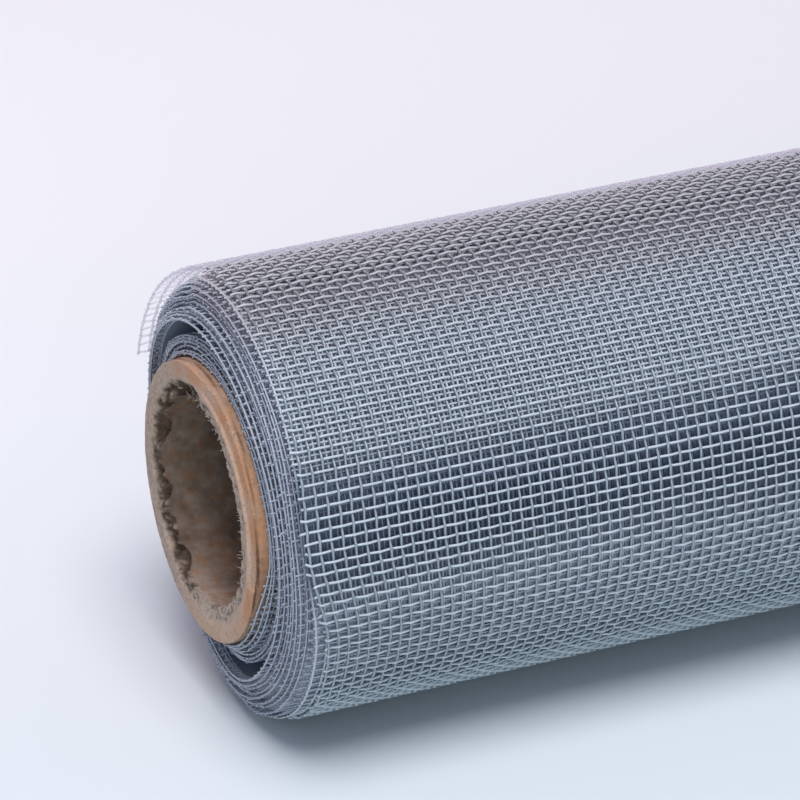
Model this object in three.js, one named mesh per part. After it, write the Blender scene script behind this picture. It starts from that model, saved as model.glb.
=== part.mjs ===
// A roll of woven glass-yarn insect net, wound on a cardboard tube and lying on a table.
// Millimetres, +Z up. The roll's axis runs along X; the end that is seen closest faces -X.
import * as THREE from 'three';

// Driving dimensions
const clothWidth = 609.6;        // a 24 inch stock width
const axisHeight = 29;           // the soft turns flatten on the table this far below the axis
const tubeOuterRadius = 18.75;
const tubeInnerRadius = 13.9;
const tubeNearReach = 3.6;       // the tube stands out of the outer turn at the near end
const tubeFarReach = 2.4;
const fitGap = 0.3;              // clearance between neighbouring pieces
const looseThickness = 1;        // the loose end of the cloth
const looseEndAngle = 11;        // where the cut edge hangs, degrees up from the back
const stepAngle = 74;            // where the outer turn leaves the roll, degrees up from the back

// The turns lie in three bands with looser rings between them.
// reach is how far each edge stands out past the outer turn at the near end.
const bands = {
  inner: { startRadius: tubeOuterRadius + fitGap, startReach: 1.9, endReach: 1.3 },
  middle: { endRadius: 26.9, startReach: 2.4, endReach: 0.8 },
  outer: { startRadius: 27.15, startReach: 0.8, endReach: 0 },
};
const crescentRadius = 22.7;     // middle of the loose ring between the inner and middle bands
const crescentWidth = { mean: 1.8, swing: 0.55 };
const crescentDepth = 7;
const seamDepth = 1.6;           // the narrow ring between the middle and outer bands

// Outline of the wound turns, and of the loose end's outer face, round the axis.
// Angles run from the back (0) over the top (90) and the front (180) to the table (270).
const rollOutline = [
  { angle: 0, radius: 27.9 },
  { angle: 25, radius: 27.9 },
  { angle: 50, radius: 28.1 },
  { angle: 73.4, radius: 28.7 },
  { angle: 74, radius: 30 },
  { angle: 110, radius: 30 },
  { angle: 150, radius: 30.1 },
  { angle: 190, radius: 30.05 },
  { angle: 220, radius: 30.1 },
  { angle: 245, radius: 29.85 },
  { angle: 265, radius: 29.65 },
  { angle: 285, radius: 29.3 },
  { angle: 310, radius: 28.3 },
  { angle: 335, radius: 27.9 },
  { angle: 360, radius: 27.9 },
];
const looseOutline = [
  { angle: looseEndAngle, radius: 31.6 },
  { angle: 25, radius: 31.0 },
  { angle: 37, radius: 30.5 },
  { angle: 50, radius: 30.0 },
  { angle: 60, radius: 30.0 },
  { angle: 72.7, radius: 30.0 },
];

// Steps of the meshes
const angleStep = 5;
const tubeSides = 60;
const lengthSections = 12;
const looseSections = 16;

const toRadians = Math.PI / 180;
const halfWidth = clothWidth / 2;

// Radius at an angle, on straight runs between the rows of a table.
function outlineRadius(table, angle) {
  let row = 1;
  while (row < table.length - 1 && angle > table[row].angle) row += 1;
  const a = table[row - 1];
  const b = table[row];
  const share = THREE.MathUtils.clamp((angle - a.angle) / (b.angle - a.angle), 0, 1);
  return a.radius + (b.radius - a.radius) * share;
}

// Long shallow waves of the outer turns, fading out at both ends.
function lengthWave(x, angle) {
  const fade = Math.cos((x / clothWidth) * Math.PI);
  const wave = Math.sin(x / 41 + angle * toRadians) + Math.sin(x / 67 - 2 * angle * toRadians);
  return 0.12 * fade * wave;
}

function rollAngles() {
  const angles = [];
  for (let angle = 0; angle < 360; angle += angleStep) {
    if (angle === 75) angles.push(73.4, stepAngle);
    else angles.push(angle);
  }
  return angles;
}

// A closed ring-shaped solid. Each station gives x and r at an angle, and the stations go
// once round the section: out over the near end, along the outside, in over the far end,
// and back along the inside.
function ringSolid(angles, stations, lowest) {
  const positions = [];
  for (const station of stations) {
    for (const angle of angles) {
      const { x, r } = station(angle);
      const y = r * Math.cos(angle * toRadians);
      const z = Math.max(r * Math.sin(angle * toRadians), lowest);
      positions.push(x, y, z);
    }
  }
  const index = [];
  const around = angles.length;
  for (let s = 0; s < stations.length; s += 1) {
    const here = s * around;
    const next = ((s + 1) % stations.length) * around;
    for (let i = 0; i < around; i += 1) {
      const j = (i + 1) % around;
      index.push(here + i, next + j, next + i);
      index.push(here + i, here + j, next + j);
    }
  }
  return closedGeometry(positions, index);
}

// A closed curved slab between two faces, each a grid of points given by row and column.
function slabSolid(rows, columns, outerPoint, innerPoint) {
  const positions = [];
  for (const point of [outerPoint, innerPoint]) {
    for (let i = 0; i <= rows; i += 1) {
      for (let j = 0; j <= columns; j += 1) positions.push(...point(i, j));
    }
  }
  const layer = (rows + 1) * (columns + 1);
  const at = (face, i, j) => face * layer + i * (columns + 1) + j;
  const index = [];
  const quad = (a, b, c, d) => index.push(a, c, b, a, d, c);
  for (let i = 0; i < rows; i += 1) {
    for (let j = 0; j < columns; j += 1) {
      quad(at(0, i, j), at(0, i + 1, j), at(0, i + 1, j + 1), at(0, i, j + 1));
      quad(at(1, i, j), at(1, i, j + 1), at(1, i + 1, j + 1), at(1, i + 1, j));
    }
    quad(at(0, i + 1, 0), at(0, i, 0), at(1, i, 0), at(1, i + 1, 0));
    quad(at(0, i, columns), at(0, i + 1, columns), at(1, i + 1, columns), at(1, i, columns));
  }
  for (let j = 0; j < columns; j += 1) {
    quad(at(0, 0, j), at(0, 0, j + 1), at(1, 0, j + 1), at(1, 0, j));
    quad(at(0, rows, j + 1), at(0, rows, j), at(1, rows, j), at(1, rows, j + 1));
  }
  return closedGeometry(positions, index);
}

function closedGeometry(positions, index) {
  const geometry = new THREE.BufferGeometry();
  geometry.setAttribute('position', new THREE.Float32BufferAttribute(positions, 3));
  geometry.setIndex(index);
  geometry.computeVertexNormals();
  return geometry;
}

function part(name, geometry, color, roughness) {
  const material = new THREE.MeshStandardMaterial({ color, roughness, metalness: 0 });
  const mesh = new THREE.Mesh(geometry, material);
  mesh.name = name;
  return mesh;
}

// The tube: saw-cut ends, with the inner plies of the near end torn back unevenly.
function tube() {
  const near = -halfWidth - tubeNearReach;
  const far = halfWidth + tubeFarReach;
  const edge = 0.3;
  const cleanRadius = 16.4;      // outside this the near cut is clean and flat
  const torn = (angle) => {
    const a = angle * toRadians;
    return 0.7 + 0.35 * Math.sin(3 * a + 0.6) + 0.25 * Math.sin(7 * a);
  };
  const stations = [
    (angle) => ({ x: near + torn(angle) + 1.1, r: tubeInnerRadius }),
    (angle) => ({ x: near + torn(angle), r: tubeInnerRadius + 0.35 }),
    (angle) => ({ x: near + 0.5 * torn(angle), r: cleanRadius - 0.5 }),
    () => ({ x: near, r: cleanRadius }),
    () => ({ x: near, r: tubeOuterRadius - edge }),
    () => ({ x: near + edge, r: tubeOuterRadius }),
    () => ({ x: 0, r: tubeOuterRadius }),
    () => ({ x: far - edge, r: tubeOuterRadius }),
    () => ({ x: far, r: tubeOuterRadius - edge }),
    () => ({ x: far, r: tubeInnerRadius + edge }),
    () => ({ x: far - edge, r: tubeInnerRadius }),
    () => ({ x: 0, r: tubeInnerRadius }),
  ];
  const angles = Array.from({ length: tubeSides }, (_, i) => (i * 360) / tubeSides);
  return part('core', ringSolid(angles, stations, -Infinity), '#b08f72', 0.9);
}

// One end of the wound turns, from the tube outwards. side is -1 near, +1 far, and both
// ends shift the same way, because every turn is as wide as the others.
function endStations(side) {
  const x = (reach, depth = 0) => side * (halfWidth - depth) - reach;
  const width = (angle) => {
    return crescentWidth.mean - crescentWidth.swing * Math.cos(2 * angle * toRadians);
  };
  const { inner, middle, outer } = bands;
  const seamRadius = (middle.endRadius + outer.startRadius) / 2;
  return [
    () => ({ x: x(inner.startReach), r: inner.startRadius }),
    (angle) => ({ x: x(inner.endReach), r: crescentRadius - width(angle) / 2 }),
    (angle) => ({ x: x(inner.endReach, crescentDepth), r: crescentRadius - width(angle) / 2.4 }),
    (angle) => ({ x: x(inner.endReach, crescentDepth), r: crescentRadius + width(angle) / 2.4 }),
    (angle) => ({ x: x(middle.startReach), r: crescentRadius + width(angle) / 2 }),
    () => ({ x: x(middle.endReach), r: middle.endRadius }),
    () => ({ x: x(middle.endReach, seamDepth), r: seamRadius }),
    () => ({ x: x(outer.startReach), r: outer.startRadius }),
  ];
}

// The wound turns as one solid: three bands at each end, and the outline between them.
function woundCloth() {
  const outside = [];
  for (let i = 0; i <= lengthSections; i += 1) {
    const x = -halfWidth + (clothWidth * i) / lengthSections;
    outside.push((angle) => ({ x, r: outlineRadius(rollOutline, angle) + lengthWave(x, angle) }));
  }
  const stations = [...endStations(-1), ...outside, ...endStations(1).reverse()];
  return part('screen_roll', ringSolid(rollAngles(), stations, -axisHeight), '#6f7a86', 0.55);
}

// The last stretch of the outer turn, standing off the back with its cut edge free.
function looseEnd() {
  const rows = 13;
  const rootAngle = looseOutline[looseOutline.length - 1].angle;
  const face = (inset) => (i, j) => {
    const x = -halfWidth + (clothWidth * j) / looseSections;
    const share = i / rows;
    const slack = 0.35 * share * share * Math.sin((x + halfWidth) / 55);
    const angle = (rootAngle + (looseEndAngle - rootAngle) * share) * toRadians;
    const r = outlineRadius(looseOutline, angle / toRadians) + slack + 0.5 * share * lengthWave(x, 0);
    return [x, (r - inset) * Math.cos(angle), (r - inset) * Math.sin(angle)];
  };
  const geometry = slabSolid(rows, looseSections, face(0), face(looseThickness));
  return part('loose_end', geometry, '#98a2ad', 0.5);
}

// The roll lies with its flat on z = 0, and the origin is under the middle of its box.
const roll = new THREE.Group();
roll.add(tube(), woundCloth(), looseEnd());
const box = new THREE.Box3().setFromObject(roll);
const middle = box.getCenter(new THREE.Vector3());
roll.position.set(-middle.x, -middle.y, -box.min.z);

export default roll;
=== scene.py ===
import math

import bpy
import numpy as np
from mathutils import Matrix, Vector, noise


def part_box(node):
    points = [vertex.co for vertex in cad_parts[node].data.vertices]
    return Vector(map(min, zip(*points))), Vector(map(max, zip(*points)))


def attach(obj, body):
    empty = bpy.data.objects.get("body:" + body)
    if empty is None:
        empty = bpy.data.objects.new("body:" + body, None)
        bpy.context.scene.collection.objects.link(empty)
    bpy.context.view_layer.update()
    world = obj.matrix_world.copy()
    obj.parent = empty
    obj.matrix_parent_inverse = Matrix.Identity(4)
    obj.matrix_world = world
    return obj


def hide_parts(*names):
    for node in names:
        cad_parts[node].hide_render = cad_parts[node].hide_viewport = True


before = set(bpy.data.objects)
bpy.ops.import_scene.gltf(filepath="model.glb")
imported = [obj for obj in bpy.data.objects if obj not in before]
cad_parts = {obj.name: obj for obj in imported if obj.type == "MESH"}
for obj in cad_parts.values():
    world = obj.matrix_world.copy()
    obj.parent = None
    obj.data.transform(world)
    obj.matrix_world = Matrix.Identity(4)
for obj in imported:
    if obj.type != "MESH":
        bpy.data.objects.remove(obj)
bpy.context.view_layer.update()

# A roll of woven glass-yarn insect net on a cardboard tube, lying on a pale floor.
# Shapes are worked out in millimetres about the roll's axis and placed in metres.
mm = 0.001

coreLow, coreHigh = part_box("core")
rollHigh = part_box("screen_roll")[1]
axisPlace = np.array([0.0, (coreLow.y + coreHigh.y) / 2, (coreLow.z + coreHigh.z) / 2])
floorDrop = axisPlace[2] / mm          # from the axis down to the floor

cloth = {
    "width": 609.6,
    "stringWidth": 0.39,               # lengthwise threads
    "ringWidth": 0.38,                 # threads that run round the roll
    "alongPitch": 1.485,               # from ring thread to ring thread
    "aroundPitch": 1.441,              # from lengthwise thread to lengthwise thread
    "firstRing": 0.95,                 # cut edge to the first ring thread
    "lastRing": 0.3,                   # least distance from the last ring thread to the far cut edge
    "rimWaveReach": 22.0,              # how far in the uneven edge still shows
}
farEdge = rollHigh.x / mm
nearEdge = farEdge - cloth["width"]


def placed(points):
    return np.asarray(points, float) * mm + axisPlace


def smoothStep(value, start, end):
    share = np.clip((np.asarray(value, float) - start) / (end - start), 0, 1)
    return share * share * (3 - 2 * share)


def rounded(angle, table):             # a table of angle and size, read with soft corners
    angles, sizes = np.array(table, float).T
    return sum(np.interp(np.asarray(angle) + step, angles, sizes) for step in (-8, -4, 0, 4, 8)) / 5


def angleMask(angle, start, end, soft):
    middle, half = (start + end) / 2, (end - start) / 2
    away = np.abs((angle - middle + 180) % 360 - 180)
    return 1 - smoothStep(away, half - soft, half + soft)


# The camera stands where the photograph was taken from
cameraView = {
    "place": (-0.52330, -0.54543, 0.34816),
    "azimuth": -24.135,
    "elevation": 27.47,
    "lens": 232.1,
}


def makeCamera():
    turn, rise = math.radians(cameraView["azimuth"]), math.radians(cameraView["elevation"])
    back = Vector((math.sin(turn) * math.cos(rise), -math.cos(turn) * math.cos(rise), math.sin(rise)))
    camera = bpy.data.objects.new("camera", bpy.data.cameras.new("camera"))
    camera.data.lens = cameraView["lens"]
    camera.data.sensor_width = 36
    camera.location = cameraView["place"]
    camera.rotation_euler = (-back).to_track_quat("-Z", "Y").to_euler()
    bpy.context.collection.objects.link(camera)
    bpy.context.scene.camera = camera


makeCamera()
print("camera placed")


def linear(hexColour):                 # sRGB hex to the linear colour that shaders take
    parts = [int(hexColour[i:i + 2], 16) / 255 for i in (1, 3, 5)]
    return (*[c / 12.92 if c <= 0.04045 else ((c + 0.055) / 1.055) ** 2.4 for c in parts], 1.0)


def addNode(tree, kind, settings=None, sockets=None):
    node = tree.nodes.new(kind)
    for name, value in (settings or {}).items():
        setattr(node, name, value)
    for name, value in (sockets or {}).items():
        socket = node.inputs[name]
        if isinstance(value, bpy.types.NodeSocket):
            tree.links.new(value, socket)
        else:
            socket.default_value = value
    return node


def newMaterial(name):
    material = bpy.data.materials.new(name)
    material.use_nodes = True
    tree = material.node_tree
    tree.nodes.clear()
    return material, tree


def finishMaterial(tree, shader):
    addNode(tree, "ShaderNodeOutputMaterial", {}, {"Surface": shader.outputs[0]})


grains = {                             # how wide the spots of each pattern are, in millimetres
    "mottle": 3.85,                    # uneven grey along the yarn
    "yarn": 0.192,                     # twist of the glass yarn under the vinyl
    "paper": 3.85,                     # paler and darker patches of paper
    "fibre": 0.476,                    # tufts of paper fibre, drawn as coarse as they need to show
}


def perMetre(size):                    # a noise scale from the width of its spots
    return 1 / (size * mm)


# Heights above the floor, in metres, between which the net's colour changes: painted shade between the turns
# on the front, painted mauve reflection over the top
tints = {
    "shadeTop": (0.041, 0.048),
    "shadeBottom": (0.025, 0.034),
    "mauve": (0.0535, 0.0585),
}


# On the front of the roll the turns stand apart and little light falls between them
def underShade(tree, place, tone, shade):
    height = addNode(tree, "ShaderNodeSeparateXYZ", {}, {0: place}).outputs["Z"]
    clear = []
    for (low, high), (under, over) in ((tints["shadeTop"], (0.0, 1.0)), (tints["shadeBottom"], (1.0, 0.0))):
        clear.append(addNode(tree, "ShaderNodeMapRange", {"interpolation_type": "SMOOTHSTEP"}, {
            "Value": height, "From Min": low, "From Max": high, "To Min": under, "To Max": over}).outputs[0])
    lit = addNode(tree, "ShaderNodeMath", {"operation": "MAXIMUM"}, {0: clear[0], 1: clear[1]})
    return addNode(tree, "ShaderNodeMix", {"data_type": "RGBA"},
                   {0: lit.outputs[0], 6: linear(shade), 7: tone.outputs[2]})


# Towards the top the colour is multiplied a little mauve: a painted reflection of the warm backdrop
def paintedTopReflection(tree, place, tone, topReflectionTint):
    height = addNode(tree, "ShaderNodeSeparateXYZ", {}, {0: place}).outputs["Z"]
    high = addNode(tree, "ShaderNodeMapRange", {"interpolation_type": "SMOOTHSTEP"}, {
        "Value": height, "From Min": tints["mauve"][0], "From Max": tints["mauve"][1]})
    return addNode(tree, "ShaderNodeMix", {"data_type": "RGBA", "blend_type": "MULTIPLY"},
                   {0: high.outputs[0], 6: tone.outputs[2], 7: linear(topReflectionTint)})


# Glass yarn dipped in grey vinyl: smooth, faintly glossy, a cool mid grey
def makeVinylThread(name, colours, roughness, shade=None, topReflectionTint="#faedea"):
    material, tree = newMaterial(name)
    place = addNode(tree, "ShaderNodeTexCoord").outputs["Object"]
    mottle = addNode(tree, "ShaderNodeTexNoise", {}, {
        "Vector": place, "Scale": perMetre(grains["mottle"]), "Detail": 3.0})
    tone = addNode(tree, "ShaderNodeMix", {"data_type": "RGBA"},
                   {0: mottle.outputs["Fac"], 6: linear(colours[0]), 7: linear(colours[1])})
    # Painted shade between the loose turns where a shade colour is given, then the painted mauve reflection
    # over the top
    if shade:
        tone = underShade(tree, place, tone, shade)
    tone = paintedTopReflection(tree, place, tone, topReflectionTint)
    yarn = addNode(tree, "ShaderNodeTexNoise", {}, {
        "Vector": place, "Scale": perMetre(grains["yarn"]), "Detail": 1.0})
    bump = addNode(tree, "ShaderNodeBump", {}, {
        "Height": yarn.outputs["Fac"], "Distance": 0.03 * mm, "Strength": 0.4})
    shader = addNode(tree, "ShaderNodeBsdfPrincipled", {}, {
        "Base Color": tone.outputs[2], "Roughness": roughness, "IOR": 1.5, "Specular IOR Level": 0.75,
        "Normal": bump.outputs[0]})
    finishMaterial(tree, shader)
    return material


# The same yarn in one free layer: thin enough for the light behind to come through, so it looks pale
def makeLooseThread():
    material, tree = newMaterial("looseVinylThread")
    solid = addNode(tree, "ShaderNodeBsdfPrincipled", {}, {
        "Base Color": linear("#e9ebf3"), "Roughness": 0.4, "IOR": 1.5, "Alpha": 0.3})
    through = addNode(tree, "ShaderNodeBsdfTranslucent", {}, {"Color": linear("#f8f8fd")})
    both = addNode(tree, "ShaderNodeMixShader", {}, {0: 0.2, 1: solid.outputs[0], 2: through.outputs[0]})
    finishMaterial(tree, both)
    return material


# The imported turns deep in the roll: the same net, shaded, its rows only just showing
def makePackedNet():
    material, tree = newMaterial("packedNet")
    place = addNode(tree, "ShaderNodeTexCoord").outputs["Object"]
    parts = addNode(tree, "ShaderNodeSeparateXYZ", {}, {0: place}).outputs
    across, up = [addNode(tree, "ShaderNodeMath", {"operation": "SUBTRACT"}, {0: parts[i], 1: axisPlace[i]})
                  for i in (1, 2)]
    angle = addNode(tree, "ShaderNodeMath", {"operation": "ARCTAN2"},
                    {0: up.outputs[0], 1: across.outputs[0]})
    turnThreads = 118                  # lengthwise threads in one packed turn
    rows = []
    for source, scale in ((angle.outputs[0], turnThreads / (2 * math.pi)),
                          (parts["X"], 1 / (cloth["alongPitch"] * mm))):
        count = addNode(tree, "ShaderNodeMath", {"operation": "MULTIPLY"}, {0: source, 1: scale})
        saw = addNode(tree, "ShaderNodeMath", {"operation": "PINGPONG"}, {0: count.outputs[0], 1: 0.5})
        rows.append(addNode(tree, "ShaderNodeMapRange", {"interpolation_type": "SMOOTHSTEP"}, {
            "Value": saw.outputs[0], "From Min": 0.08, "From Max": 0.2, "To Min": 1.0, "To Max": 0.0}))
    net = addNode(tree, "ShaderNodeMath", {"operation": "MAXIMUM"}, {
        0: rows[0].outputs[0], 1: rows[1].outputs[0]})
    # Between the drawn rows the colour is darker: a painted shade for the holes that look into the turns
    # beneath
    tone = addNode(tree, "ShaderNodeMix", {"data_type": "RGBA"},
                   {0: net.outputs[0], 6: linear("#8d95a2"), 7: linear("#b4bbc4")})
    # Painted shade between the turns on the front, and the painted mauve reflection over the top
    tone = paintedTopReflection(tree, place, underShade(tree, place, tone, "#8b97aa"), "#faedea")
    bump = addNode(tree, "ShaderNodeBump", {}, {"Height": net.outputs[0], "Distance": 0.2 * mm})
    shader = addNode(tree, "ShaderNodeBsdfPrincipled", {}, {
        "Base Color": tone.outputs[2], "Roughness": 0.6, "IOR": 1.5, "Normal": bump.outputs[0]})
    finishMaterial(tree, shader)
    return material


# Spiral-wound paper board: tan paper, grey and woolly where the saw tore it, with painted shade in its pits.
# The tube's own zones say how orange, how torn and how dark each spot is; the dark holds the ply's dark edge
# line and painted shade alike.
def makeTubeBoard():
    material, tree = newMaterial("tubeBoard")
    place = addNode(tree, "ShaderNodeTexCoord").outputs["Object"]
    zones = addNode(tree, "ShaderNodeAttribute", {"attribute_name": "zones"})
    zone = addNode(tree, "ShaderNodeSeparateColor", {}, {"Color": zones.outputs["Color"]}).outputs
    patches = addNode(tree, "ShaderNodeTexNoise", {}, {
        "Vector": place, "Scale": perMetre(grains["paper"]), "Detail": 5.0})
    specks = addNode(tree, "ShaderNodeTexNoise", {}, {
        "Vector": place, "Scale": perMetre(grains["fibre"]), "Detail": 4.0, "Roughness": 0.65})
    dirt = addNode(tree, "ShaderNodeMapRange", {}, {
        "Value": specks.outputs["Fac"], "From Min": 0.52, "From Max": 0.7, "To Min": 0.0, "To Max": 0.7})
    tufts = addNode(tree, "ShaderNodeMapRange", {}, {
        "Value": specks.outputs["Fac"], "From Min": 0.38, "From Max": 0.62})
    paper = addNode(tree, "ShaderNodeMix", {"data_type": "RGBA"},
                    {0: patches.outputs["Fac"], 6: linear("#b39a86"), 7: linear("#cbb5a1")})
    orange = addNode(tree, "ShaderNodeMix", {"data_type": "RGBA"},
                     {0: zone[0], 6: paper.outputs[2], 7: linear("#c18b62")})
    soiled = addNode(tree, "ShaderNodeMix", {"data_type": "RGBA"},
                     {0: dirt.outputs[0], 6: orange.outputs[2], 7: linear("#8d7560")})
    wool = addNode(tree, "ShaderNodeMix", {"data_type": "RGBA"},
                   {0: tufts.outputs[0], 6: linear("#706357"), 7: linear("#c2b4a5")})
    torn = addNode(tree, "ShaderNodeMix", {"data_type": "RGBA"},
                   {0: zone[1], 6: soiled.outputs[2], 7: wool.outputs[2]})
    darkMarksAndPaintedShade = addNode(tree, "ShaderNodeMix", {"data_type": "RGBA"},
                      {0: zone[2], 6: torn.outputs[2], 7: linear("#453325")})
    bump = addNode(tree, "ShaderNodeBump", {}, {
        "Height": specks.outputs["Fac"], "Distance": 0.18 * mm, "Strength": 0.45})
    shader = addNode(tree, "ShaderNodeBsdfPrincipled", {}, {
        "Base Color": darkMarksAndPaintedShade.outputs[2], "Roughness": 0.92, "IOR": 1.45, "Specular IOR Level": 0.25,
        "Normal": bump.outputs[0]})
    finishMaterial(tree, shader)
    return material


# Single pale paper fibres, matt
def makePaperFibre():
    material, tree = newMaterial("paperFibre")
    shader = addNode(tree, "ShaderNodeBsdfPrincipled", {}, {
        "Base Color": linear("#cdc4b8"), "Roughness": 0.9})
    finishMaterial(tree, shader)
    return material


vinylThread = makeVinylThread("vinylThread", ("#adb8bd", "#bdc8cc"), 0.38)
# The ring threads are the same yarn drawn darker, a painted shade, as they catch less of the light from
# above; over the top they are darkened more as well. The far net, rings and lengthwise threads together,
# sits between the two.
ringThread = makeVinylThread("ringVinylThread", ("#87949b", "#95a2a8"), 0.26, topReflectionTint="#ebdfe0")
farThread = makeVinylThread("farVinylThread", ("#96a0a7", "#a5afb5"), 0.38, topReflectionTint="#efe3e4")
deepThread = makeVinylThread("deepVinylThread", ("#abb5bc", "#bec7cc"), 0.45, "#5f6a7c")
# The third turn is the same yarn drawn darker, a painted shade for lying deeper under the outer turns
shadedThirdThread = makeVinylThread("shadedThirdVinylThread", ("#98a1ad", "#acb4bf"), 0.5, "#566172")
edgeThread = makeVinylThread("edgeVinylThread", ("#9da5b0", "#b0b6c0"), 0.5)
# Painted shade: the walls and floor of the slack ring are drawn in a dark slate, as little light gets down
# into it
slackShade = makeVinylThread("slackPaintedShade", ("#465162", "#5c6878"), 0.8)      # lost in the slack ring's dark
looseThread = makeLooseThread()
packedNet = makePackedNet()
tubeBoard = makeTubeBoard()
paperFibre = makePaperFibre()
print("materials made")


def meshObject(name, points, edges=(), faces=()):
    mesh = bpy.data.meshes.new(name)
    mesh.from_pydata([tuple(point) for point in points], [tuple(edge) for edge in edges],
                     [tuple(face) for face in faces])
    mesh.update()
    piece = bpy.data.objects.new(name, mesh)
    bpy.context.collection.objects.link(piece)
    return piece


def ringMesh(name, rows, finish):      # rows of points round the axis, the last joined to the first
    count = len(rows[0])
    faces = []
    for s in range(len(rows)):
        n = (s + 1) % len(rows)
        for i in range(count):
            j = (i + 1) % count
            faces.append((s * count + i, s * count + j, n * count + j, n * count + i))
    piece = meshObject(name, placed(np.concatenate(rows)), faces=faces)
    for polygon in piece.data.polygons:
        polygon.use_smooth = True
    piece.data.materials.append(finish)
    return piece


def socketId(tree, name):
    return next(item.identifier for item in tree.interface.items_tree
                if item.name == name and item.in_out == "INPUT")


def grownMesh(piece, label, tree, inputs):     # a node tree run on a piece and kept as an ordinary mesh
    modifier = piece.modifiers.new(label, "NODES")
    modifier.node_group = tree
    for name, value in inputs.items():
        modifier[socketId(tree, name)] = value
    view = bpy.context.evaluated_depsgraph_get()
    mesh = bpy.data.meshes.new_from_object(piece.evaluated_get(view))
    piece.modifiers.clear()
    piece.data = mesh
    mesh.name = piece.name
    triangles = sum(len(face.vertices) - 2 for face in mesh.polygons)
    print(f"{piece.name}: {triangles} triangles")
    return piece


# One tree sweeps a round section along every path of a piece
def makeSweepTree():
    tree = bpy.data.node_groups.new("threadSweep", "GeometryNodeTree")
    face = tree.interface
    for name, kind in (("Paths", "Geometry"), ("Thread Radius", "Float"), ("Sides", "Int"),
                       ("Finish", "Material")):
        face.new_socket(name, in_out="INPUT", socket_type="NodeSocket" + kind)
    face.new_socket("Threads", in_out="OUTPUT", socket_type="NodeSocketGeometry")
    given = addNode(tree, "NodeGroupInput").outputs
    curves = addNode(tree, "GeometryNodeMeshToCurve", {}, {"Mesh": given["Paths"]})
    section = addNode(tree, "GeometryNodeCurvePrimitiveCircle", {"mode": "RADIUS"},
                      {"Resolution": given["Sides"], "Radius": given["Thread Radius"]})
    swept = addNode(tree, "GeometryNodeCurveToMesh", {}, {
        "Curve": curves.outputs[0], "Profile Curve": section.outputs["Curve"], "Fill Caps": True})
    soft = addNode(tree, "GeometryNodeSetShadeSmooth", {}, {"Geometry": swept.outputs[0]})
    real = addNode(tree, "GeometryNodeRealizeInstances", {}, {"Geometry": soft.outputs[0]})
    painted = addNode(tree, "GeometryNodeSetMaterial", {}, {
        "Geometry": real.outputs[0], "Material": given["Finish"]})
    addNode(tree, "NodeGroupOutput", {}, {"Threads": painted.outputs[0]})
    return tree


sweepTree = makeSweepTree()


def sweptPiece(name, paths, radius, sides, finish):
    points, edges, start = [], [], 0
    for path in paths:
        count = len(path)
        points.append(placed(path))
        edges.append(np.column_stack([np.arange(count - 1), np.arange(1, count)]) + start)
        start += count
    piece = meshObject(name, np.concatenate(points).tolist(), np.concatenate(edges).tolist())
    return grownMesh(piece, "sweep", sweepTree, {
        "Thread Radius": radius * mm, "Sides": sides, "Finish": finish})


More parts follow.
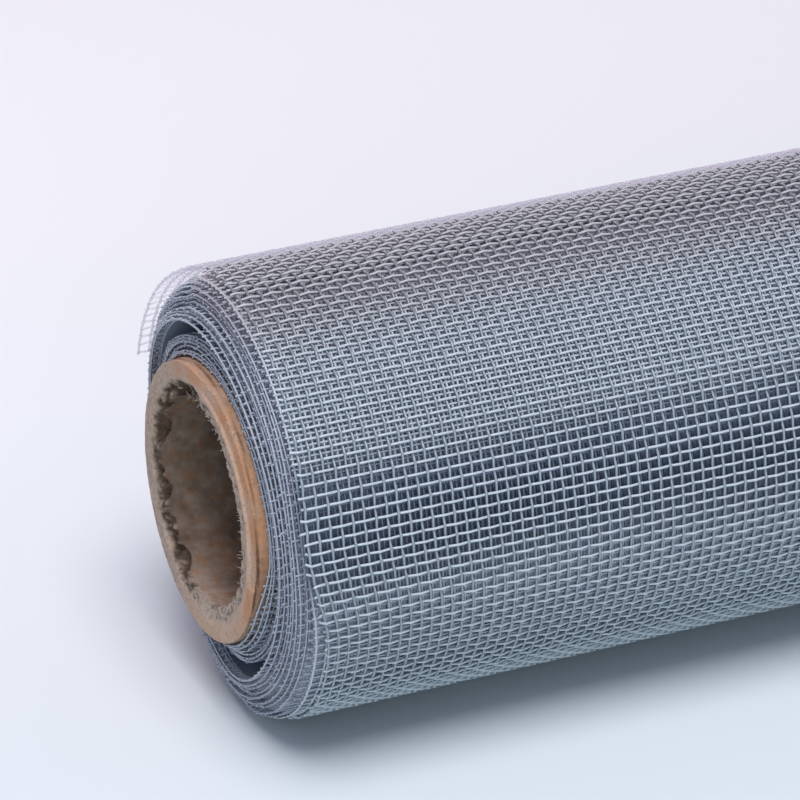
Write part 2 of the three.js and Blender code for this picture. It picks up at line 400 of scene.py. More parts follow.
# A second tree plants a short bent fibre on every point, along the point's own lean
def makeFibreTree():
    tree = bpy.data.node_groups.new("bentFibres", "GeometryNodeTree")
    face = tree.interface
    for name, kind in (("Roots", "Geometry"), ("Length", "Float"), ("Thread Radius", "Float"),
                       ("Bend", "Float"), ("Tilt", "Float"), ("Shortest", "Float"), ("Seed", "Int"),
                       ("Finish", "Material")):
        face.new_socket(name, in_out="INPUT", socket_type="NodeSocket" + kind)
    face.new_socket("Fibres", in_out="OUTPUT", socket_type="NodeSocketGeometry")
    given = addNode(tree, "NodeGroupInput").outputs
    side = addNode(tree, "ShaderNodeMath", {"operation": "MULTIPLY"}, {0: given["Length"], 1: given["Bend"]})
    half = addNode(tree, "ShaderNodeMath", {"operation": "MULTIPLY"}, {0: given["Length"], 1: 0.55})
    middle = addNode(tree, "ShaderNodeCombineXYZ", {}, {0: side.outputs[0], 2: half.outputs[0]})
    end = addNode(tree, "ShaderNodeCombineXYZ", {}, {2: given["Length"]})
    line = addNode(tree, "GeometryNodeCurveQuadraticBezier", {}, {
        "Resolution": 2, "Start": (0, 0, 0), "Middle": middle.outputs[0], "End": end.outputs[0]})
    section = addNode(tree, "GeometryNodeCurvePrimitiveCircle", {"mode": "RADIUS"},
                      {"Resolution": 3, "Radius": given["Thread Radius"]})
    fibre = addNode(tree, "GeometryNodeCurveToMesh", {}, {
        "Curve": line.outputs[0], "Profile Curve": section.outputs["Curve"], "Fill Caps": True})
    lean = addNode(tree, "GeometryNodeInputNamedAttribute", {"data_type": "FLOAT_VECTOR"}, {"Name": "lean"})
    upright = addNode(tree, "FunctionNodeAlignRotationToVector", {"axis": "Z"}, {"Vector": lean.outputs[0]})
    least = addNode(tree, "ShaderNodeMath", {"operation": "MULTIPLY"}, {0: given["Tilt"], 1: -1.0})
    lowTilt = addNode(tree, "ShaderNodeCombineXYZ", {}, {0: least.outputs[0], 1: least.outputs[0], 2: -3.1})
    highTilt = addNode(tree, "ShaderNodeCombineXYZ", {}, {0: given["Tilt"], 1: given["Tilt"], 2: 3.1})
    tilt = addNode(tree, "FunctionNodeRandomValue", {"data_type": "FLOAT_VECTOR"}, {
        0: lowTilt.outputs[0], 1: highTilt.outputs[0], "Seed": given["Seed"]})
    tiltTurn = addNode(tree, "FunctionNodeEulerToRotation", {}, {0: tilt.outputs[0]})
    turned = addNode(tree, "FunctionNodeRotateRotation", {"rotation_space": "LOCAL"}, {
        "Rotation": upright.outputs[0], "Rotate By": tiltTurn.outputs[0]})
    size = addNode(tree, "FunctionNodeRandomValue", {"data_type": "FLOAT"}, {
        2: given["Shortest"], 3: 1.0, "Seed": given["Seed"]})
    planted = addNode(tree, "GeometryNodeInstanceOnPoints", {}, {
        "Points": given["Roots"], "Instance": fibre.outputs[0], "Rotation": turned.outputs[0],
        "Scale": size.outputs[1]})
    real = addNode(tree, "GeometryNodeRealizeInstances", {}, {"Geometry": planted.outputs[0]})
    soft = addNode(tree, "GeometryNodeSetShadeSmooth", {}, {"Geometry": real.outputs[0]})
    painted = addNode(tree, "GeometryNodeSetMaterial", {}, {
        "Geometry": soft.outputs[0], "Material": given["Finish"]})
    addNode(tree, "NodeGroupOutput", {}, {"Fibres": painted.outputs[0]})
    return tree


fibreTree = makeFibreTree()


def fibrePiece(name, roots, leans, look, seed, finish):
    piece = meshObject(name, placed(roots))
    lean = piece.data.attributes.new("lean", "FLOAT_VECTOR", "POINT")
    lean.data.foreach_set("vector", np.asarray(leans, np.float32).ravel())
    return grownMesh(piece, "plant", fibreTree, {
        "Length": look["length"] * mm, "Thread Radius": look["radius"] * mm, "Bend": look["bend"],
        "Tilt": look["tilt"], "Shortest": look["shortest"], "Seed": seed, "Finish": finish})


# The outer turns lie loose; angles run from the back (0) over the top (90) and front (180)
turns = {
    "start": 74.0,                     # the outer turn leaves the roll here
    "end": 434.0,
    "radius": 30.0,                    # the outer turn over the top
    "outline": ((74, 30.0), (110, 30.0), (150, 30.1), (190, 30.05), (220, 30.1), (245, 29.85),
                (265, 29.65), (285, 29.3), (310, 28.3), (335, 27.9), (360, 27.9), (385, 27.9),
                (410, 28.1), (434, 28.7)),
    "waves": (0.12, 41, 67),           # height of the long shallow waves, and how slowly they run
    "overFloor": (0.34, 0.35),         # the outer turn's clearance, and the rise of each one inside it
    "firstGap": ((74, 1.1), (86, 0.6), (104, 0.38), (140, 0.36), (150, 0.5), (160, 0.8), (172, 0.8),
                 (184, 0.45), (200, 0.36), (265, 0.38), (434, 0.45)),
    "laterGap": ((74, 0.45), (115, 0.4), (142, 0.4), (160, 0.7), (172, 0.7), (186, 0.45), (200, 0.4),
                 (434, 0.42)),
    # how far in from the plain cut edge the rim lies at the near end
    "rim": ((74, 0.8), (91, 0.4), (121, 0.0), (147, -0.9), (159, -1.5), (171, -1.7), (178, -1.0),
            (185, 0.6), (192, 1.3), (200, 1.6), (217, 2.0), (231, 2.5), (270, 2.4), (330, 1.2), (434, 0.8)),
    # how far the deeper turns are set in at the back, at either end alike
    "backSet": ((74, 0.0), (235, 0.0), (255, 0.4), (270, 1.0), (285, 1.5), (310, 1.6), (340, 1.6),
                (365, 1.5), (385, 0.9), (405, 0.2), (434, 0.0)),
    "rimShare": (1.0, 0.5, 0.2, 0.0),  # how much of that uneven rim each deeper turn shares
    "reach": (0.0, 0.35, 0.6, 0.85),   # how far each deeper turn stands out at the near end
}
turnPerMm = np.degrees(1 / turns["radius"])    # degrees in a millimetre of the outer turn


def lengthWave(x, angle):
    height, first, second = turns["waves"]
    turn = np.radians(angle)
    fade = np.cos(x / cloth["width"] * np.pi)
    return height * fade * (np.sin(x / first + turn) + np.sin(x / second - 2 * turn))


def turnGap(turn, angle):              # how far a loose turn lies under the outer one
    if turn == 0:
        return 0.0
    return rounded(angle, turns["firstGap"]) + (turn - 1) * rounded(angle, turns["laterGap"])


def turnPoint(turn, x, angle, lift=0.0):
    x, angle = np.broadcast_arrays(np.asarray(x, float), np.asarray(angle, float))
    radius = rounded(angle, turns["outline"]) + lengthWave(x, angle) - turnGap(turn, angle)
    turned = np.radians(angle)
    clearance, rise = turns["overFloor"]
    lowest = -floorDrop + clearance + rise * turn
    y, z = radius * np.cos(turned), np.maximum(radius * np.sin(turned), lowest)
    edge = rounded(angle, turns["rim"]) * np.exp(-np.abs(x - nearEdge) / cloth["rimWaveReach"])
    edge = edge * turns["rimShare"][turn] - turns["reach"][turn]
    if turn > 0:
        edge = edge + rounded(angle, turns["backSet"])
    return np.stack([x + edge, y + lift * np.cos(turned), z + lift * np.sin(turned)], axis=-1)


nets = {
    "seam": nearEdge + 90.0,           # the woven crimp is modelled this far, and drawn straight beyond
    "firstString": 0.3,                # turn's start to its first lengthwise thread, in parts of a pitch
    "ringCrimp": ((74, 0.23), (146, 0.23), (163, 0.13), (434, 0.13)),      # slacker over the top
    "stringCrimp": 0.13,
    "play": 0.05,                      # the slow drift of each thread from its place
    "ringSway": 0.05,
    "stringSway": 0.06,
    "tuck": 0.4,                       # degrees that the ring threads start before the turn does
    "frays": (0.25, 0.95),             # how far the cut ends stand past the first ring thread
    "droop": (-0.35, 0.15),            # and how far they bend down or up
    "deepWidth": 0.36,
    "secondRings": -0.4,               # parts of a pitch that the rings of deeper turns lie over
    "thirdRings": 0.2,
    # how far the lengthwise threads of deeper turns lie past the outer ones, in parts of a pitch
    "secondPhase": ((74, -0.4), (90, -0.39), (100, 0.0), (112, 0.28), (125, 0.37), (140, 0.46),
                    (152, 0.27), (163, 0.15), (180, 0.38), (195, 0.67), (205, 0.96), (215, 1.2), (434, 1.2)),
    "thirdPhase": ((74, -1.4), (90, -1.4), (100, -0.85), (112, -0.44), (125, -0.25), (140, -0.09),
                   (152, 0.05), (163, 0.3), (180, 0.72), (195, 1.22), (205, 1.75), (215, 2.2), (434, 2.2)),
}
netRandom = np.random.default_rng(7)


def stringPlaces():                    # angles of the lengthwise threads, one pitch apart along the turn
    fine = np.linspace(turns["start"], turns["end"], 2000)
    points = turnPoint(0, 0.0, fine)
    run = np.concatenate([[0], np.cumsum(np.linalg.norm(np.diff(points, axis=0), axis=1))])
    steps = np.arange(nets["firstString"] * cloth["aroundPitch"], run[-1], cloth["aroundPitch"])
    return np.interp(steps, run, fine)


def ringPlaces(phase=0.0):
    first = nearEdge + cloth["firstRing"] + phase * cloth["alongPitch"]
    return np.arange(first, farEdge - cloth["lastRing"], cloth["alongPitch"])


def wander(count, size):               # a slow random drift from thread to thread
    steps = netRandom.normal(0, 1, count + 8)
    soft = np.convolve(steps, np.ones(9) / 9, "valid")
    return soft / max(soft.std(), 1e-9) * size


outerStrings = stringPlaces()
nearRings = ringPlaces()[ringPlaces() < nets["seam"]]
farRings = ringPlaces()[len(nearRings):]


def crimpSigns(count, first):          # over and under in turn
    return (-1.0) ** (first + np.arange(count))


def outerNet():
    angles = outerStrings
    ringPlay = wander(len(nearRings), nets["play"])
    stringPlay = wander(len(angles), nets["play"])
    strings, rings = [], []
    stations = np.sort(np.concatenate([angles, (angles[1:] + angles[:-1]) / 2]))
    stations = np.concatenate([[turns["start"] - nets["tuck"]], stations, [turns["end"]]])
    for i, x in enumerate(nearRings):
        lift = np.zeros(len(stations))
        lift[1:-1:2] = rounded(angles, nets["ringCrimp"]) * crimpSigns(len(angles), i)
        drift = ringPlay[i] + nets["ringSway"] * np.sin(np.radians(stations) * 3 + i * 0.13)
        rings.append(turnPoint(0, x + drift, stations, lift))
    xs = np.sort(np.concatenate([nearRings, (nearRings[1:] + nearRings[:-1]) / 2]))
    frays = netRandom.uniform(*nets["frays"], len(angles))
    droop = netRandom.uniform(*nets["droop"], len(angles))
    for j, angle in enumerate(angles):
        lift = np.zeros(len(xs))
        lift[0::2] = -nets["stringCrimp"] * crimpSigns(len(nearRings), j)
        drift = (stringPlay[j] + nets["stringSway"] * np.sin(xs / 23 + j * 0.11)) * turnPerMm
        path = turnPoint(0, xs, angle + drift, lift)
        tip = turnPoint(0, [nearRings[0] - frays[j]], angle + drift[0] + 2 * droop[j], droop[j])
        strings.append(np.concatenate([tip, path]))
    return strings, rings


def farNet():
    sparse = np.linspace(turns["start"], turns["end"], 73)
    xs = np.linspace(nearRings[-1], farEdge, 15)
    return [turnPoint(0, x, sparse) for x in farRings] + [turnPoint(0, xs, angle) for angle in outerStrings]


def innerNet(turn, ringPhase, phases, ringSteps, until):
    sparse = np.linspace(turns["start"], turns["end"], ringSteps + 1)
    rings = [turnPoint(turn, x, sparse) for x in ringPlaces(ringPhase) if x < until]
    xs = np.linspace(nearEdge, until, max(int((until - nearEdge) / 20), 4))
    past = cloth["aroundPitch"] * turnPerMm * np.interp(outerStrings, *np.array(phases).T)
    return rings + [turnPoint(turn, xs, angle) for angle in outerStrings + past]


strings, rings = outerNet()
netStrings = sweptPiece("net_lengthwise_near", strings, cloth["stringWidth"] / 2, 4, vinylThread)
netRings = sweptPiece("net_around_near", rings, cloth["ringWidth"] / 2, 4, ringThread)
netFar = sweptPiece("net_far", farNet(), cloth["ringWidth"] / 2, 3, farThread)
second = innerNet(1, nets["secondRings"], nets["secondPhase"], 48, farEdge)
netSecond = sweptPiece("net_second_turn", second, nets["deepWidth"] / 2, 3, deepThread)
third = innerNet(2, nets["thirdRings"], nets["thirdPhase"], 72, nets["seam"])
netThird = sweptPiece("net_third_turn", third, nets["deepWidth"] / 2, 3, shadedThirdThread)


# Deeper in, the turns are packed in two bands with a slack dark ring between them
bands = {
    "tubeFit": 19.2,                   # innermost turn
    "slackRadius": 22.7,
    "slackWidth": 1.8,
    "slackSwing": 0.55,                # wider over and under the tube than beside it
    "innerTurns": 6,
    "outerTurns": 8,
    "innerReach": (1.9, 1.3),          # how far the edges stand out past the outer turn, first and last
    "outerReach": (2.4, 0.8),
    "behindEdges": 1.5,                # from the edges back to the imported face
    "slackDepth": 7.0,
    "bevel": (0.35, 0.4),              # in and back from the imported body's rim
    "overFloor": 1.5,
    "lowReach": 1.3,                   # the innermost turns have slid out this far under the tube
    "lowTurns": 3,                     # and this many of them have
    "lowSide": (192, 290),
}


def slackEdge(angle, side):            # inner (-1) or outer (+1) side of the slack ring
    width = bands["slackWidth"] - bands["slackSwing"] * np.cos(2 * np.radians(angle))
    return bands["slackRadius"] + side * width / 2


def packedOutside(angle):
    return rounded(angle, turns["outline"]) - turnGap(3, angle)


def packedStations():                  # (reach of the edges there, how far behind them, radius at an angle)
    back, deep = bands["behindEdges"], bands["behindEdges"] + bands["slackDepth"]
    startIn, endIn = bands["innerReach"]
    startOut, endOut = bands["outerReach"]
    bevelIn, bevelBack = bands["bevel"]
    return [
        (startIn, back, lambda a: np.full_like(a, bands["tubeFit"] - 0.15)),
        (endIn, back, lambda a: slackEdge(a, -1)),
        (endIn, deep, lambda a: slackEdge(a, -0.8)),
        (endIn, deep, lambda a: slackEdge(a, 0.8)),
        (startOut, back, lambda a: slackEdge(a, 1)),
        (endOut, back, lambda a: packedOutside(a) - bevelIn),
        (endOut - bevelBack, back, lambda a: packedOutside(a)),
    ]


def packedTurns():
    around = np.linspace(turns["start"], turns["end"], 145)[:-1]
    turned = np.radians(around)
    backSet = rounded(around, turns["backSet"])
    nearRows = [(nearEdge - reach + behind + backSet, radius(around))
                for reach, behind, radius in packedStations()]
    middleRows = [(x, packedOutside(around) + lengthWave(x, around))
                  for x in np.linspace(nearEdge + 12, farEdge - 12, 22)]
    farRows = [(farEdge - reach - behind + backSet, radius(around))
               for reach, behind, radius in reversed(packedStations())]
    lowest = -floorDrop + bands["overFloor"]
    points = []
    for x, r in nearRows + middleRows + farRows:
        z = np.maximum(r * np.sin(turned), lowest)
        points.append(np.stack([np.full_like(r, x), r * np.cos(turned), z], axis=-1))
    piece = ringMesh("packed_turns", points, packedNet)
    # The slack ring's walls and floor take this painted shade
    piece.data.materials.append(slackShade)
    last = len(points) - 2             # the slack ring's walls and floor, at the near and the far end
    inSlack = (1, 2, 3, last - 3, last - 2, last - 1)
    for polygon in piece.data.polygons:
        if polygon.index // len(around) in inSlack:
            polygon.material_index = 1
    return piece


packed = packedTurns()


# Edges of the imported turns: a thread or two round each, and the cut ends of the lengthwise threads
edges = {
    "ringDepths": (0.25, 1.5),         # behind the cut edge
    "stubOut": 0.2,                    # how far the cut ends stick out past the edge
    "radialWander": 0.1,
    "axialWander": 0.22,
    "overFloor": 1.2,
    "missing": 0.06,                   # share of the cut ends that have fallen out
    "stub": {"length": 2.2, "radius": cloth["stringWidth"] / 2 * 0.85, "bend": 0.03, "tilt": 0.06,
             "shortest": 0.85},
}


def packedTurnList():                  # reach and radius of every packed turn, from the tube outwards
    inner = (bands["innerTurns"], bands["innerReach"], lambda a: bands["tubeFit"],
             lambda a: slackEdge(a, -1) - 0.1)
    outer = (bands["outerTurns"], bands["outerReach"], lambda a: slackEdge(a, 1) + 0.1,
             lambda a: packedOutside(a) - 0.25)
    found = []
    for count, reaches, first, last in (inner, outer):
        for share in np.linspace(0, 1, count):
            reach = np.interp(share, (0, 1), reaches)
            found.append((reach, lambda a, s=share, f=first, l=last: f(a) * (1 - s) + l(a) * s))
    return found


def edgePoint(side, reach, radiusAt, phase, slid, angle, behind):
    turned = np.radians(angle)
    swell = np.sin(2 * turned + phase[0]) + 0.6 * np.sin(5 * turned + phase[1])
    sway = np.sin(turned + phase[2]) + 0.6 * np.sin(3 * turned + phase[3])
    # the tables start at 74 degrees, so angles before that are read one turn later
    readAngle = np.where(angle < turns["start"], angle + 360, angle)
    r = radiusAt(readAngle) + edges["radialWander"] * swell
    x = (nearEdge if side < 0 else farEdge) - reach + edges["axialWander"] * sway
    x = x + rounded(readAngle, turns["backSet"]) - side * behind
    x = x - slid * angleMask(angle, *bands["lowSide"], 15)
    z = np.maximum(r * np.sin(turned), -floorDrop + edges["overFloor"])
    return np.stack(np.broadcast_arrays(x, r * np.cos(turned), z), axis=-1)


def turnEdges(side, word, seed):
    random = np.random.default_rng(seed)
    rings, roots, leans = [], [], []
    around = np.linspace(0, 360, 73)
    for order, (reach, radiusAt) in enumerate(packedTurnList()):
        phase = random.uniform(0, 2 * np.pi, 4)
        slid = bands["lowReach"] * max(0.0, 1 - order / bands["lowTurns"])
        turn = (side, reach, radiusAt, phase, slid)
        for depth in edges["ringDepths"]:
            closed = edgePoint(*turn, around, depth)
            closed[-1] = closed[0]
            rings.append(closed)
        threads = int(2 * np.pi * radiusAt(np.array([180.0]))[0] / cloth["aroundPitch"])
        angles = (np.arange(threads) + random.uniform(0, 1)) * 360 / threads
        angles = angles + random.normal(0, 0.25, threads)
        angles = angles[random.uniform(0, 1, threads) > edges["missing"]]
        roots.append(edgePoint(*turn, angles, edges["stub"]["length"] - edges["stubOut"]))
        leans.append(np.tile([side, 0, 0], (len(angles), 1)))
    ringPiece = sweptPiece(f"turn_edges_{word}", rings, cloth["ringWidth"] / 2 * 0.95, 3, edgeThread)
    stubs = fibrePiece(f"cut_ends_{word}", np.concatenate(roots), np.concatenate(leans), edges["stub"],
                       seed, edgeThread)
    return ringPiece, stubs


edgePieces = [*turnEdges(-1, "near", 21), *turnEdges(1, "far", 22)]


# The cardboard tube: a clean ring outside, torn grey plies inside, a ply lifted along the rim
tube = {
    "radius": 18.75,
    "bore": 13.9,
    "cleanRadius": 16.4,
    "near": coreLow.x / mm,
    "far": coreHigh.x / mm,
    "plyEdge": ((0, 0.6), (60, 0.9), (91, 1.2), (116, 1.45), (145, 0.9), (173, 0.6), (188, 0.55),
                (193, 0.5), (197, 0.15), (260, 0.1), (300, 0.3), (360, 0.6)),
    "plyStep": 0.16,                   # the outer ply stands this much proud behind its edge
    "lifted": (96, 193),               # the cut of the outer plies lies lower between these angles
    "lowered": 0.4,
    "torn": (-75, 88),                 # the inner plies are torn out deeper on this side
    "tornDepth": 2.0,
    "hills": (3.1, 0.8, 0.35),         # widths of the coarse, fine and finest unevenness
    "steps": 288,
    "fibres": {"length": 0.65, "radius": 0.03, "bend": 0.35, "tilt": 0.8, "shortest": 0.3},
    "fibreCount": 380,
    "fibreSide": (70, 290),            # where they stand, round the tube and across its wall
    "fibreRing": (13.95, 15.8),
}


tubeAngles = np.arange(tube["steps"]) * 360 / tube["steps"]


def tubeMask(start, end, soft):
    return angleMask(tubeAngles, start, end, soft)


tornSide = tubeMask(*tube["torn"], 14)


def roughness(points, size):           # soft random hills about this many millimetres wide
    return np.array([noise.noise(Vector(point) / size) for point in points])


def tubeHills(flat):                   # coarse, fine and finest
    return [roughness(flat + 40 * i, size) for i, size in enumerate(tube["hills"])]


# Each skin of the tube takes a row of plain points at one radius and x. It gives their depth behind
# the plain face, their new radius, and how orange, torn and dark they are; the dark is partly painted shade.
def tubeOutside(flat, radius, x):
    coarse, fine, _ = tubeHills(flat)
    past = x - tube["near"] - rounded(tubeAngles, tube["plyEdge"])    # behind the outer ply's edge
    r = radius - tube["plyStep"] * (1 - smoothStep(past, -0.12, 0.12)) + 0.03 * coarse
    orange = 0.5 + 0.3 * coarse + 0.35 * tubeMask(140, 195, 20) - 0.3 * tubeMask(200, 300, 12)
    crack = np.exp(-(past / tube["plyStep"]) ** 2)
    # Darker along the crack at the outer ply's edge, and a painted shade on the tube's underside from 178 to
    # 250 degrees
    dark = np.clip(0.75 * crack + 0.35 * tubeMask(178, 250, 12) + 0.2 * fine, 0, 1)
    return 0.0, r, orange, 0.0, dark


def tubeFace(flat, radius, x):
    coarse, fine, grain = tubeHills(flat)
    ragged = np.clip(smoothStep(radius, tube["cleanRadius"] + 0.3, tube["bore"] + 0.2) * 2, 0, 1)
    hollow = tornSide * smoothStep(radius, tube["cleanRadius"], 14.5)
    hollow = hollow * np.clip(0.55 + 1.3 * coarse + 0.5 * fine, 0, 1.3)       # pits where plies are gone
    lowered = tubeMask(*tube["lifted"], 1.0) * np.clip((tubeAngles - 60) / 60, 0, 1)
    depth = 0.05 * fine + 0.04 * coarse + lowered * tube["lowered"] * smoothStep(radius, 16.6, 17.0)
    depth = depth + ragged * (0.2 + 0.25 * np.abs(fine) + 0.14 * np.abs(grain) + 0.3 * coarse)
    depth = depth + tube["tornDepth"] * hollow
    orange = (0.6 + 0.5 * coarse) * smoothStep(radius, 16.0, 17.4) * tubeMask(60, 215, 15)
    orange = orange + 0.2 * tubeMask(195, 280, 10) * smoothStep(radius, 16, 17)
    left = tubeMask(280, 420, 20)      # the side away from the net is dusty
    grey = np.clip(ragged * (0.6 + 0.5 * fine) + 0.2 * tornSide + left * (0.15 + 0.5 * fine), 0, 1)
    # Painted shade in the pits and over the torn side's deeper rings; the ragged and dusty flecks are the
    # board's own
    dark = 1.1 * hollow + ragged * np.clip(1.3 * fine, 0, 0.5) + left * np.clip(grain, 0, 0.35)
    dark = dark + tornSide * smoothStep(radius, tube["cleanRadius"], 15.2) * (0.75 + 0.8 * fine)
    return depth, radius + 0.2 * ragged * fine, orange, grey, np.clip(dark, 0, 0.92)


def tubeBore(flat, radius, x):
    coarse, fine, _ = tubeHills(flat)
    deep = x - tube["near"]
    near = np.exp(-deep / 3.0)         # the cut has frayed the first few millimetres
    depth = near * (0.7 + 0.2 * coarse + 0.5 * tornSide * tube["tornDepth"] * np.clip(0.2 + coarse, 0, 1))
    r = radius + 0.06 * coarse * np.exp(-deep / 12.0) - 0.08 * np.abs(fine) * near
    r = r - 0.4 * tornSide * np.exp(-((deep - 2.0) / 1.2) ** 2) * np.clip(0.1 + 2 * fine, 0, 1)
    orange = np.clip(-0.05 + 2.2 * roughness(flat + 11, 1.2), 0, 0.8)
    grey = np.clip(0.1 + 0.3 * near + 0.2 * fine, 0, 0.5)
    # Painted shade: darker deeper into the bore and over its upper side, and in the torn hollow near the cut
    dark = 0.46 + 0.48 * smoothStep(deep, 0.5, 9.0) * (0.5 + 0.5 * tubeMask(10, 170, 40))
    dark = dark + 0.16 * roughness(flat + 23, 2.4) + 0.1 * fine + 0.4 * tornSide * np.exp(-deep / 2.5)
    # Painted light: the lower back wall near the opening is made lighter
    dark = dark - 0.3 * tubeMask(235, 300, 15) * smoothStep(deep, 5, 1)
    return depth, r, orange, grey, np.clip(dark, 0, 0.93)


def tubeFarFace(flat, radius, x):
    return -0.1 * tubeHills(flat)[1], radius, 0.0, 0.4, 0.0


def tubeRows():                        # (skin, radius, x) once round the section
    r, bore, near, far = tube["radius"], tube["bore"], tube["near"], tube["far"]
    along = (far - 0.25, far - 3, 200, 100, 0, -100, -200, -280, -300, near + 3)
    rows = [(tubeOutside, r, x) for x in along]
    rows += [(tubeOutside, r, near + x) for x in (2.0, 1.6, 1.2, 0.9, 0.6, 0.3)]
    rows += [(tubeFace, radius, near) for radius in np.linspace(r - 0.12, bore + 0.1, 34)]
    rows += [(tubeBore, bore, near + x) for x in (*np.arange(0.4, 22, 0.7), *np.arange(24, 60, 4.0))]
    rows += [(tubeBore, bore, x) for x in (-220, -120, 0, 120, 220, far - 1, far - 0.25)]
    rows += [(tubeFarFace, radius, far) for radius in np.linspace(bore + 0.2, r - 0.2, 6)]
    return rows


def makeTube():
    across, up = np.cos(np.radians(tubeAngles)), np.sin(np.radians(tubeAngles))
    points, zones = [], []
    for skin, radius, x in tubeRows():
        flat = np.stack([np.full_like(across, x), radius * across, radius * up], axis=-1)
        depth, r, orange, grey, dark = skin(flat, radius, x)
        points.append(np.stack([x + depth * np.ones_like(across), r * across, r * up], axis=-1))
        whole = np.broadcast_arrays(np.clip(orange, 0, 1), grey, dark, np.ones_like(across))
        zones.append(np.stack(whole, axis=-1))
    piece = ringMesh("cardboard_tube", points[::-1], tubeBoard)
    colours = piece.data.color_attributes.new("zones", "FLOAT_COLOR", "POINT")
    colours.data.foreach_set("color", np.concatenate(zones[::-1]).astype(np.float32).ravel())
    return piece


def tubeFibres():                      # loose paper fibres along the torn inner edge
    random = np.random.default_rng(41)
    count = tube["fibreCount"]
    turned = np.radians(random.uniform(*tube["fibreSide"], count))
    radius = random.uniform(*tube["fibreRing"], count)
    x = tube["near"] + random.uniform(0.2, 0.9, count)
    roots = np.stack([x, radius * np.cos(turned), radius * np.sin(turned)], axis=-1)
    inward = random.uniform(-0.2, 1.2, count)
    outward = random.uniform(0.3, 1.0, count)
    leans = np.stack([-outward, -inward * np.cos(turned), -inward * np.sin(turned)], axis=-1)
    return fibrePiece("tube_fibres", roots, leans, tube["fibres"], 43, paperFibre)


tubePieces = [makeTube(), tubeFibres()]
print("tube made")


# The loose end: the outer turn goes on past the step and hangs off the back
loose = {
    "start": 74.2,
    "end": 11.0,
    "outline": ((11, 31.6), (25, 31.0), (37, 30.5), (50, 30.0), (60, 30.0), (72.7, 30.0), (82, 30.0)),
    "threadLift": -0.18,
    "slack": 0.35,                     # its free edge waves in and out this far
    "ringCrimp": 0.13,
    "stringCrimp": 0.1,
    "edgeOut": 0.6,                    # its near edge has shifted out this far
    "joined": (40, 74),                # between these angles it comes into line with the outer turn
    "cutPast": 0.35,                   # ring threads are cut this far past the last lengthwise one
    "turnRadius": 30.3,                # over which its lengthwise threads are spaced
}


def loosePoint(x, angle, lift=0.0):
    x, angle = np.broadcast_arrays(np.asarray(x, float), np.asarray(angle, float))
    share = np.clip((loose["start"] - angle) / (loose["start"] - loose["end"]), 0, 1)
    wave = loose["slack"] * share ** 2 * np.sin((x - nearEdge) / 55) + 0.5 * share * lengthWave(x, 0)
    radius = rounded(angle, loose["outline"]) + loose["threadLift"] * share + wave + lift
    joined = smoothStep(angle, *loose["joined"])
    edge = rounded(turns["start"], turns["rim"]) * joined - loose["edgeOut"] * (1 - joined)
    edge = edge * np.exp(-np.abs(x - nearEdge) / cloth["rimWaveReach"])
    turned = np.radians(angle)
    return np.stack([x + edge, radius * np.cos(turned), radius * np.sin(turned)], axis=-1)


def looseEnd():
    stepAngle = np.degrees(cloth["aroundPitch"] / loose["turnRadius"])
    stringAngles = np.arange(outerStrings[0] - stepAngle, loose["end"] + 0.5, -stepAngle)
    degreeRun = 0.55                   # millimetres in a degree at the cut edge
    rings = ringPlaces()
    play = np.random.default_rng(31)
    paths = []
    for i, x in enumerate(rings):
        tip = stringAngles[-1] - play.uniform(0.3, 1.0) * loose["cutPast"] / degreeRun
        lift = loose["ringCrimp"] * crimpSigns(len(stringAngles), i + 1)
        paths.append(loosePoint(x, [loose["start"], *stringAngles, tip], np.array([0, *lift, 0])))
    for j, angle in enumerate(stringAngles):
        xs = [rings[0] - play.uniform(0.1, 0.3), *rings, farEdge - play.uniform(0, 0.25)]
        lift = loose["stringCrimp"] * crimpSigns(len(rings), j)
        paths.append(loosePoint(xs, angle, np.array([0, *lift, 0])))
    piece = sweptPiece("loose_net", paths, cloth["ringWidth"] / 2, 3, looseThread)
    fine = loosePoint(0.0, np.linspace(loose["start"], loose["end"], 200))
    return piece, np.linalg.norm(np.diff(fine, axis=0), axis=1).sum()


looseNet, looseRun = looseEnd()
print(f"loose end {looseRun:.1f} mm round the roll")


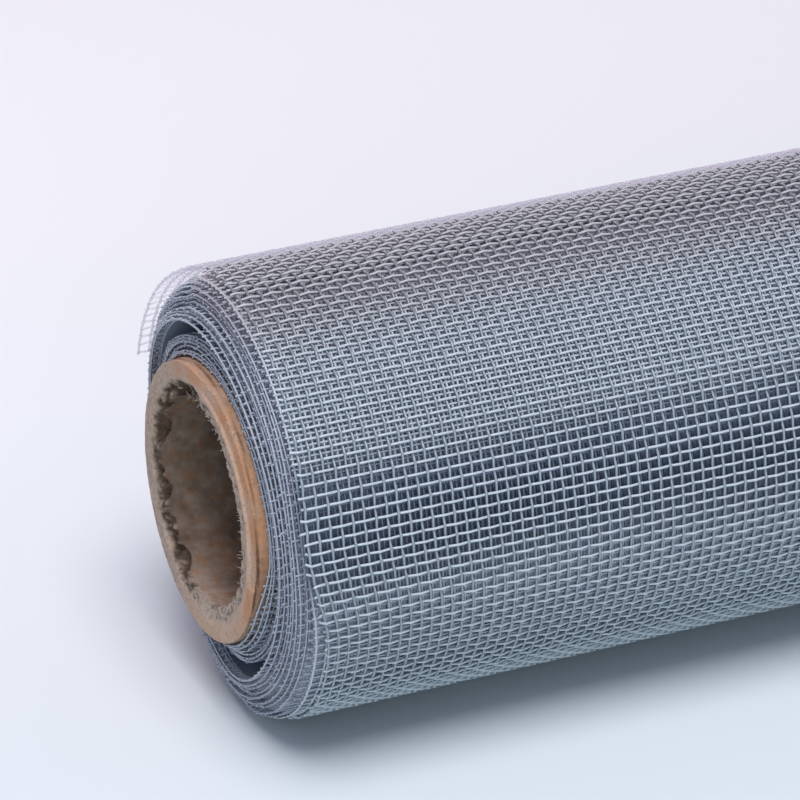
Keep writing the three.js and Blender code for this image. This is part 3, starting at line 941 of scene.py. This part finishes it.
# A matt studio sheet, near white behind the roll, darker and a little bluer towards the viewer: a painted
# shade where less light reaches the floor in front
def makeFloor():
    half = 4.0
    floor = meshObject("floor", [(-half, -half, 0), (half, -half, 0), (half, half, 0), (-half, half, 0)],
                       faces=[(0, 1, 2, 3)])
    material, tree = newMaterial("paleFloor")
    place = addNode(tree, "ShaderNodeTexCoord").outputs["Object"]
    across = addNode(tree, "ShaderNodeSeparateXYZ", {}, {0: place}).outputs["Y"]
    behind = addNode(tree, "ShaderNodeMapRange", {"interpolation_type": "SMOOTHSTEP"},
                     {"Value": across, "From Min": -0.04, "From Max": 0.2})
    tone = addNode(tree, "ShaderNodeMix", {"data_type": "RGBA"},
                   {0: behind.outputs[0], 6: linear("#d7e1e1"), 7: linear("#eaeeeb")})
    shader = addNode(tree, "ShaderNodeBsdfPrincipled", {}, {"Base Color": tone.outputs[2], "Roughness": 0.7})
    finishMaterial(tree, shader)
    floor.data.materials.append(material)


makeFloor()


def addLight(name, place, target, size, power, colour):
    light = bpy.data.lights.new(name, "AREA")
    light.shape = "DISK"
    light.size = size
    light.energy = power
    light.color = linear(colour)[:3]
    lamp = bpy.data.objects.new(name, light)
    lamp.location = place
    lamp.rotation_euler = (Vector(target) - Vector(place)).to_track_quat("-Z", "Y").to_euler()
    lamp.visible_camera = False
    bpy.context.collection.objects.link(lamp)


def makeWorld(colour, strength):
    world = bpy.data.worlds.new("studio")
    bpy.context.scene.world = world
    world.use_nodes = True
    background = world.node_tree.nodes["Background"].inputs
    background["Color"].default_value = linear(colour)
    background["Strength"].default_value = strength


addLight("keyLight", (-0.4, -0.35, 1.2), (-0.25, 0, 0), 0.8, 14, "#fdfaff")
addLight("backLight", (-0.1, 1.7, 0.45), (-0.25, 0, 0.05), 1.0, 9, "#ffd0dc")
addLight("frontLight", (-0.9, -1.9, 0.4), (-0.2, 0, 0), 1.2, 13, "#dcf0ff")
makeWorld("#dfe0ff", 0.37)
bpy.context.scene.view_settings.view_transform = "Standard"
print("floor and lights placed")

for piece in (netStrings, netRings, netFar, netSecond, netThird, packed, *edgePieces, looseNet):
    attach(piece, "root")
for piece in tubePieces:
    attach(piece, "root")
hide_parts("core")
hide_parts("screen_roll")
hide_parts("loose_end")
